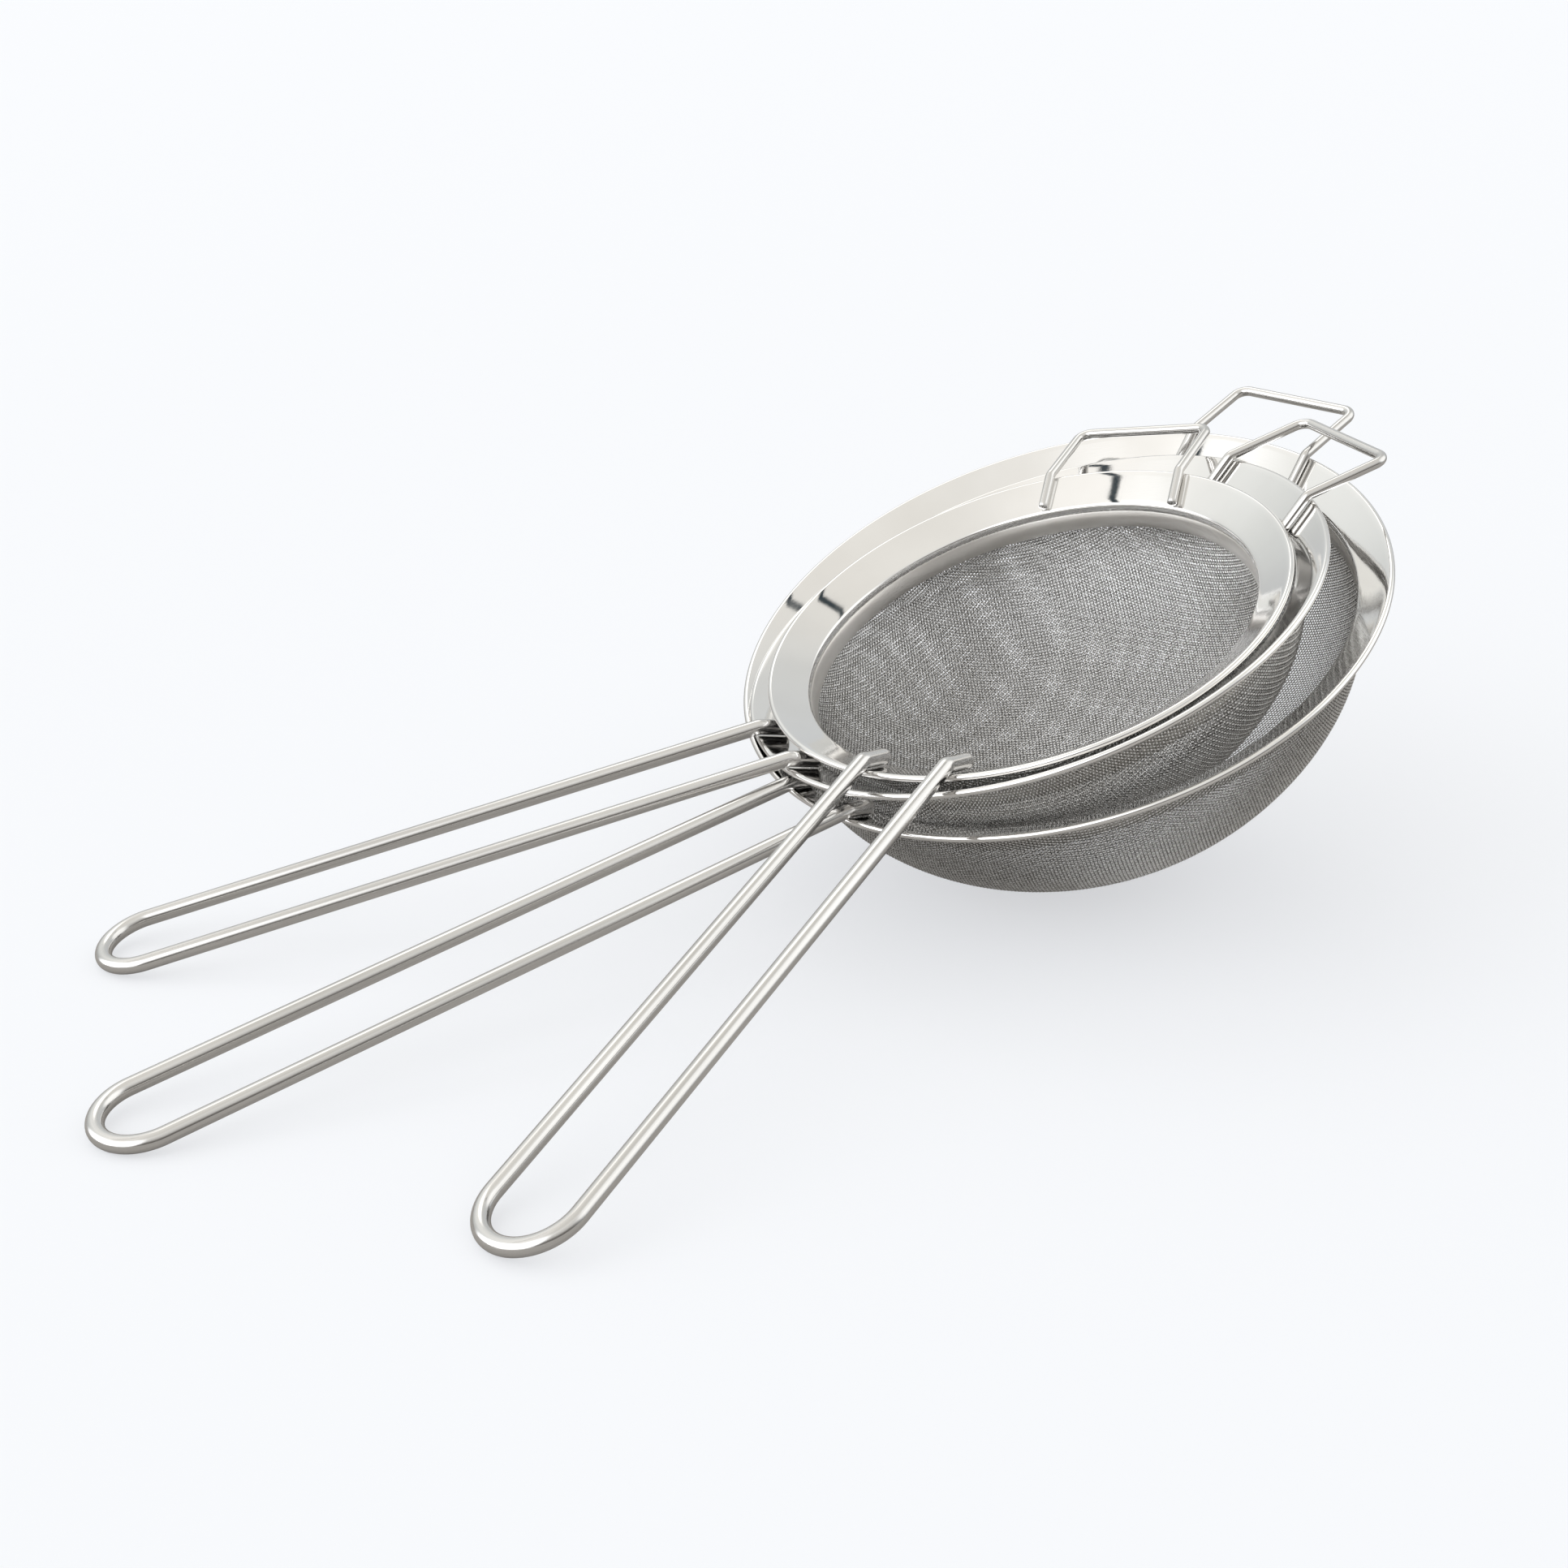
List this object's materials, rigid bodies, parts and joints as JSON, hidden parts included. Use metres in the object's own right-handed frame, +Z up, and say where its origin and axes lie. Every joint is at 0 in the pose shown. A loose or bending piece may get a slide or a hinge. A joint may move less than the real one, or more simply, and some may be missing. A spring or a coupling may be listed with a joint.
{
  "type": "nested strainer set",
  "caption": "Nested round wire-mesh strainers with dished polished rims, long bent-wire handles that fan out and rectangular wire rest hooks, resting tilted on a table.",
  "frame": {"origin": "centre of the bounding box's bottom, on the table", "axes": "+Z up; handles point towards -X, rest hooks towards +X"},
  "size_m": [0.4156, 0.2214, 0.1326],
  "materials": {
    "large_rim": "polished stainless steel",
    "large_clamp_band": "satin stainless steel",
    "large_mesh_bowl": "fine woven stainless wire, silver grey",
    "large_handle": "lightly brushed round steel wire",
    "large_rest_hook": "lightly brushed round steel wire",
    "medium_rim": "polished stainless steel",
    "medium_clamp_band": "satin stainless steel",
    "medium_mesh_bowl": "fine woven stainless wire, silver grey",
    "medium_handle": "lightly brushed round steel wire",
    "medium_rest_hook": "lightly brushed round steel wire",
    "small_rim": "polished stainless steel",
    "small_clamp_band": "satin stainless steel",
    "small_mesh_bowl": "fine woven stainless wire, silver grey",
    "small_handle": "lightly brushed round steel wire",
    "small_rest_hook": "lightly brushed round steel wire"
  },
  "bodies": {
    "large_strainer": {"large_rim": "large_rim", "large_clamp_band": "large_clamp_band", "large_mesh_bowl": "large_mesh_bowl", "large_handle": "large_handle", "large_rest_hook": "large_rest_hook"},
    "medium_strainer": {"medium_rim": "medium_rim", "medium_clamp_band": "medium_clamp_band", "medium_mesh_bowl": "medium_mesh_bowl", "medium_handle": "medium_handle", "medium_rest_hook": "medium_rest_hook"},
    "small_strainer": {"small_rim": "small_rim", "small_clamp_band": "small_clamp_band", "small_mesh_bowl": "small_mesh_bowl", "small_handle": "small_handle", "small_rest_hook": "small_rest_hook"}
  },
  "joints": [
    {"name": "medium_lift_out", "type": "slide", "parent": "large_strainer", "child": "medium_strainer", "axis": [-0.4063, -0.0185, 0.9135], "range_m": [0, 0.14]},
    {"name": "small_lift_out", "type": "slide", "parent": "medium_strainer", "child": "small_strainer", "axis": [-0.3879, 0.0924, 0.9171], "range_m": [0, 0.12]}
  ]
}
